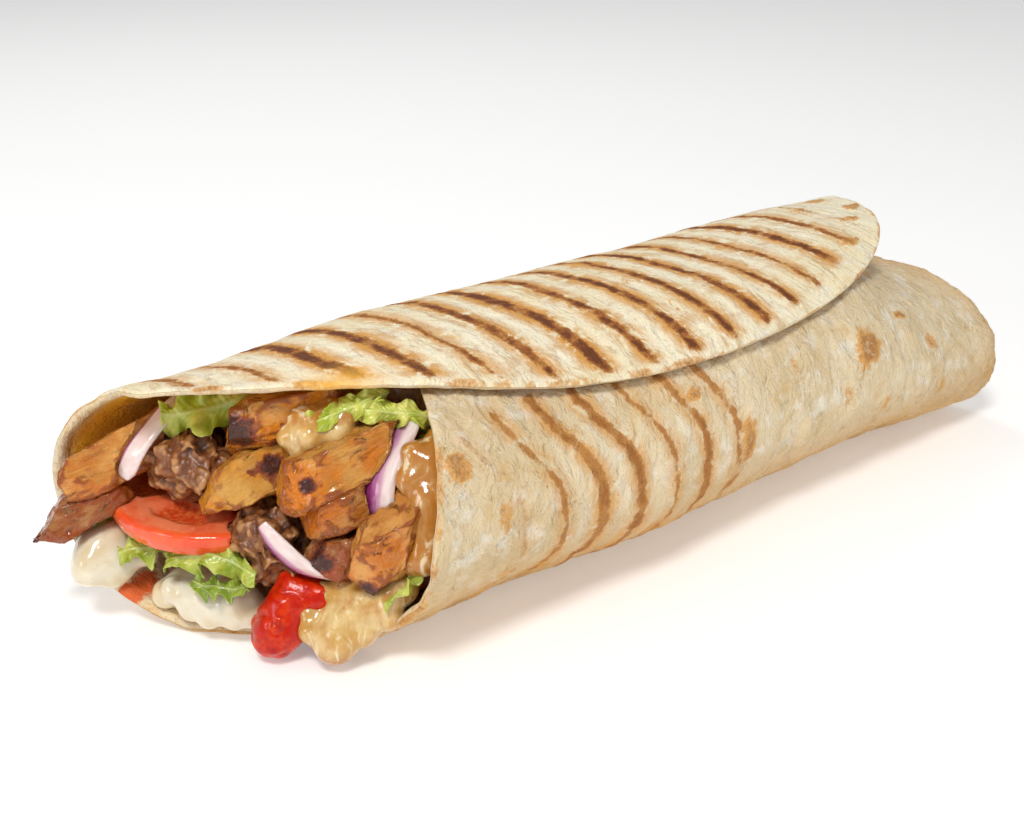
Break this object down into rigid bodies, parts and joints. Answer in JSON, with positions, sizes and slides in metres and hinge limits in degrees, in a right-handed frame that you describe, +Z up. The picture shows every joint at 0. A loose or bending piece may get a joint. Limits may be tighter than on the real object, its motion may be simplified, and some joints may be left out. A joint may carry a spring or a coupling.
{
  "type": "chicken durum wrap",
  "caption": "Rolled flatbread wrap lying on its side, with one folded end and an open mouth showing strips of chicken, meat chunks, tomato, onion, lettuce, cheese and sauces.",
  "frame": {"origin": "middle of the flat spot under the wrap, on the surface it rests on, below the centre of the bread's disc", "axes": "+X along the wrap from the open mouth to the folded end, +Y towards its back, +Z up"},
  "size_m": [0.2387, 0.0805, 0.0551],
  "materials": {
    "bread": "dry floury baked flatbread with toasted grill marks",
    "filling": "moist mixed filling in shade",
    "chicken": "grilled chicken, golden with charred edges, slightly oily",
    "meat": "browned ground meat, craggy and moist",
    "tomato": "wet cut tomato with a glossy skin",
    "onion": "crisp raw red onion, white-pink with a purple skin",
    "white_sauce": "thick glossy white sauce",
    "red_sauce": "thick glossy red sauce",
    "cheese": "melted pale yellow cheese, glossy",
    "lettuce": "fresh shredded lettuce, slightly shiny"
  },
  "bodies": {
    "root": {"flatbread": "bread", "filling": "filling", "chicken_1": "chicken", "chicken_2": "chicken", "chicken_3": "chicken", "chicken_4": "chicken", "chicken_5": "chicken", "chicken_6": "chicken", "chicken_7": "chicken", "chicken_8": "chicken", "meat_1": "meat", "meat_2": "meat", "tomato": "tomato", "onion_1": "onion", "onion_2": "onion", "onion_3": "onion", "white_sauce_1": "white_sauce", "white_sauce_2": "white_sauce", "red_sauce": "red_sauce", "cheese_1": "cheese", "cheese_2": "cheese", "cheese_3": "cheese", "lettuce_1": "lettuce", "lettuce_2": "lettuce", "lettuce_3": "lettuce", "lettuce_4": "lettuce", "lettuce_5": "lettuce", "lettuce_6": "lettuce", "lettuce_7": "lettuce", "lettuce_8": "lettuce", "lettuce_9": "lettuce"}
  },
  "joints": []
}
